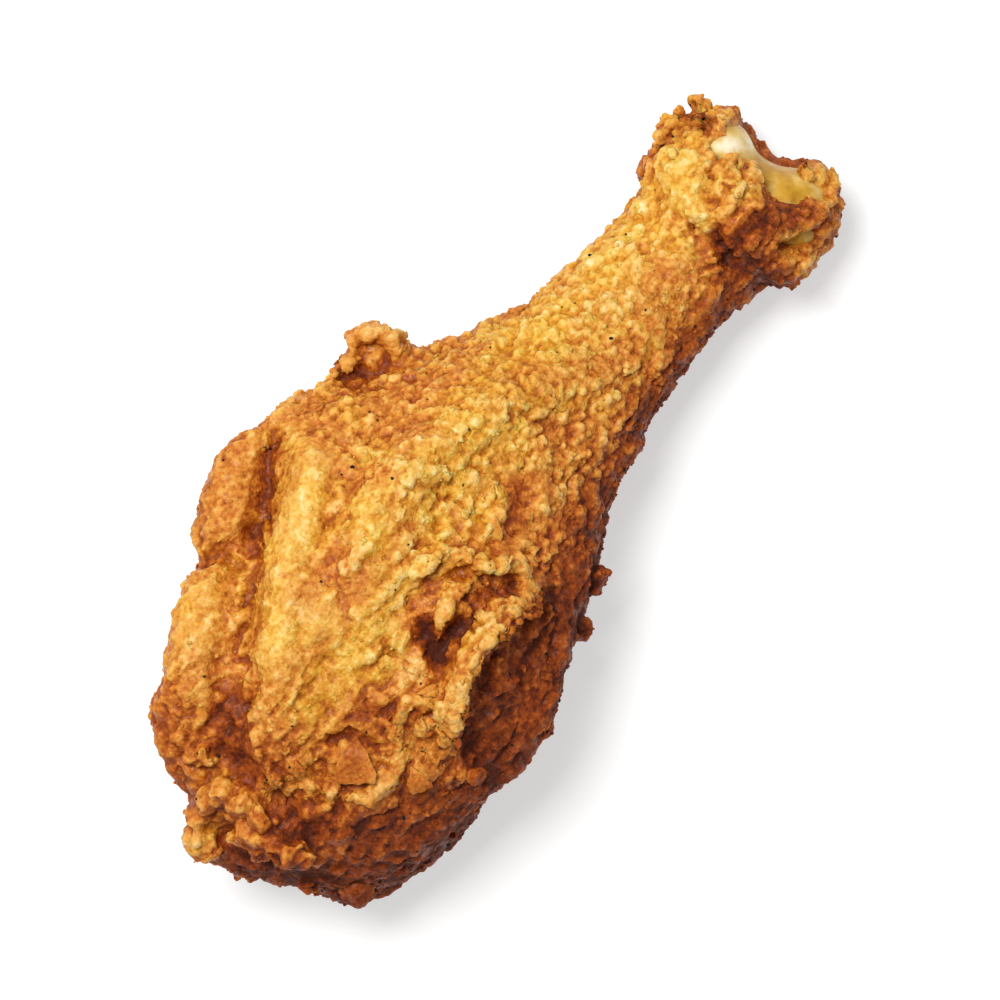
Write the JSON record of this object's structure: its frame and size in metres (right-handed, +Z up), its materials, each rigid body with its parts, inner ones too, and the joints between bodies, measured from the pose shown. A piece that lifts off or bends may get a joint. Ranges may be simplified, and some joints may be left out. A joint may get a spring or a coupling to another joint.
{
  "type": "fried chicken drumstick",
  "caption": "Breaded fried chicken drumstick lying on its side: a plump, folded, craggy belly that narrows to a grainy shank and ends in a bare knuckle.",
  "frame": {"origin": "under the middle of the whole drumstick's box, on the surface it lies on", "axes": "+X from the fat end to the knuckle, +Z up from the surface it lies on, +Y to the side that has the hook of skin"},
  "size_m": [0.1194, 0.0552, 0.0412],
  "materials": {
    "fried_crust": "crisp, craggy golden-brown fried flour coating with a thin film of oil",
    "cartilage": "smooth, moist, cream to yellow cooked cartilage"
  },
  "bodies": {
    "root": {"coated_meat": "fried_crust", "knuckle": "cartilage"}
  },
  "joints": []
}
